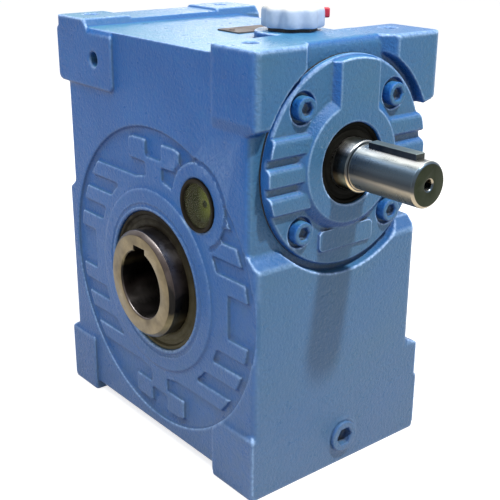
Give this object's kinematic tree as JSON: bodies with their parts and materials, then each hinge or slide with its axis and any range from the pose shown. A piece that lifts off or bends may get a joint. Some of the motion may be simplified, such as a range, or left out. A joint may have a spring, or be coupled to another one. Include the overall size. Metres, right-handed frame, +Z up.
{
  "type": "worm gear reducer",
  "caption": "Cast iron worm gear reducer with a keyed solid input shaft, a keyed hollow output shaft, a sight glass, a drain plug and a vent cap.",
  "frame": {"origin": "centre of the hollow output shaft's bore, halfway along it", "axes": "+X along the input shaft towards its keyed end, +Y along the output shaft, away from the sight glass side, +Z up from the feet"},
  "size_m": [0.31, 0.188, 0.3255],
  "materials": {
    "blue_paint": "satin machine enamel over a fine cast grain",
    "seal_rubber": "matte",
    "bearing_steel": "ground",
    "cage_brass": "pressed",
    "shaft_steel": "fine ground, oiled",
    "key_steel": "cold drawn, dark",
    "hub_iron": "machined",
    "wheel_bronze": "machined bronze",
    "vent_white": "moulded",
    "vent_black": "moulded",
    "tab_red": "moulded",
    "sight_ring": "moulded",
    "sight_lens": "clear with an oil tint",
    "sight_reflector": "moulded",
    "plate_metal": "bare, satin"
  },
  "bodies": {
    "casing": {"housing": "blue_paint", "side_cover": "blue_paint", "side_cover_gasket": "seal_rubber", "side_cover_screws": "blue_paint", "input_cover": "blue_paint", "input_cover_gasket": "seal_rubber", "input_cover_screws": "blue_paint", "rear_cover": "blue_paint", "rear_cover_gasket": "seal_rubber", "rear_cover_screws": "blue_paint", "input_seal": "seal_rubber", "output_seal_left": "seal_rubber", "output_seal_right": "seal_rubber", "input_bearing_cup": "bearing_steel", "rear_bearing_cup": "bearing_steel", "output_bearing_outer_left": "bearing_steel", "output_bearing_outer_right": "bearing_steel", "sight_glass_ring": "sight_ring", "sight_glass_lens": "sight_lens", "sight_glass_reflector": "sight_reflector", "drain_plug": "blue_paint", "vent_base": "vent_black", "vent_cap": "vent_white", "rating_plate": "plate_metal", "plate_rivets": "plate_metal"},
    "output": {"hollow_shaft": "shaft_steel", "wheel_hub": "hub_iron", "wheel_rim": "wheel_bronze", "wheel_key": "key_steel", "wheel_spacer": "shaft_steel", "output_bearing_inner_left": "bearing_steel", "output_bearing_inner_right": "bearing_steel"},
    "input": {"worm_shaft": "shaft_steel", "input_key": "key_steel", "input_bearing_cone": "bearing_steel", "rear_bearing_cone": "bearing_steel"},
    "left_balls": {"output_bearing_balls_left": "bearing_steel", "output_bearing_cage_left": "cage_brass"},
    "right_balls": {"output_bearing_balls_right": "bearing_steel", "output_bearing_cage_right": "cage_brass"},
    "front_rollers": {"input_bearing_rollers": "bearing_steel"},
    "rear_rollers": {"rear_bearing_rollers": "bearing_steel"},
    "tab": {"vent_tab": "tab_red"}
  },
  "joints": [
    {"name": "output_spin", "type": "hinge", "parent": "casing", "child": "output", "pos_m": [0, 0, 0], "axis": [0, 1, 0], "continuous": true},
    {"name": "input_spin", "type": "hinge", "parent": "casing", "child": "input", "pos_m": [0, 0, 0.1], "axis": [1, 0, 0], "continuous": true},
    {"name": "left_balls_orbit", "type": "hinge", "parent": "casing", "child": "left_balls", "pos_m": [0, -0.056, 0], "axis": [0, 1, 0], "continuous": true},
    {"name": "right_balls_orbit", "type": "hinge", "parent": "casing", "child": "right_balls", "pos_m": [0, 0.056, 0], "axis": [0, 1, 0], "continuous": true},
    {"name": "front_rollers_orbit", "type": "hinge", "parent": "casing", "child": "front_rollers", "pos_m": [0.092, 0, 0.1], "axis": [1, 0, 0], "continuous": true},
    {"name": "rear_rollers_orbit", "type": "hinge", "parent": "casing", "child": "rear_rollers", "pos_m": [-0.0925, 0, 0.1], "axis": [1, 0, 0], "continuous": true},
    {"name": "tab_pull", "type": "slide", "parent": "casing", "child": "tab", "axis": [0.6428, 0.766, 0], "range_m": [0, 0.012]}
  ],
  "couplings": [
    {"joint": "input_spin", "follows": "output_spin", "ratio": -30},
    {"joint": "left_balls_orbit", "follows": "output_spin", "ratio": 0.4376},
    {"joint": "right_balls_orbit", "follows": "output_spin", "ratio": 0.4376},
    {"joint": "front_rollers_orbit", "follows": "output_spin", "ratio": -13.08},
    {"joint": "rear_rollers_orbit", "follows": "output_spin", "ratio": -13.08}
  ]
}
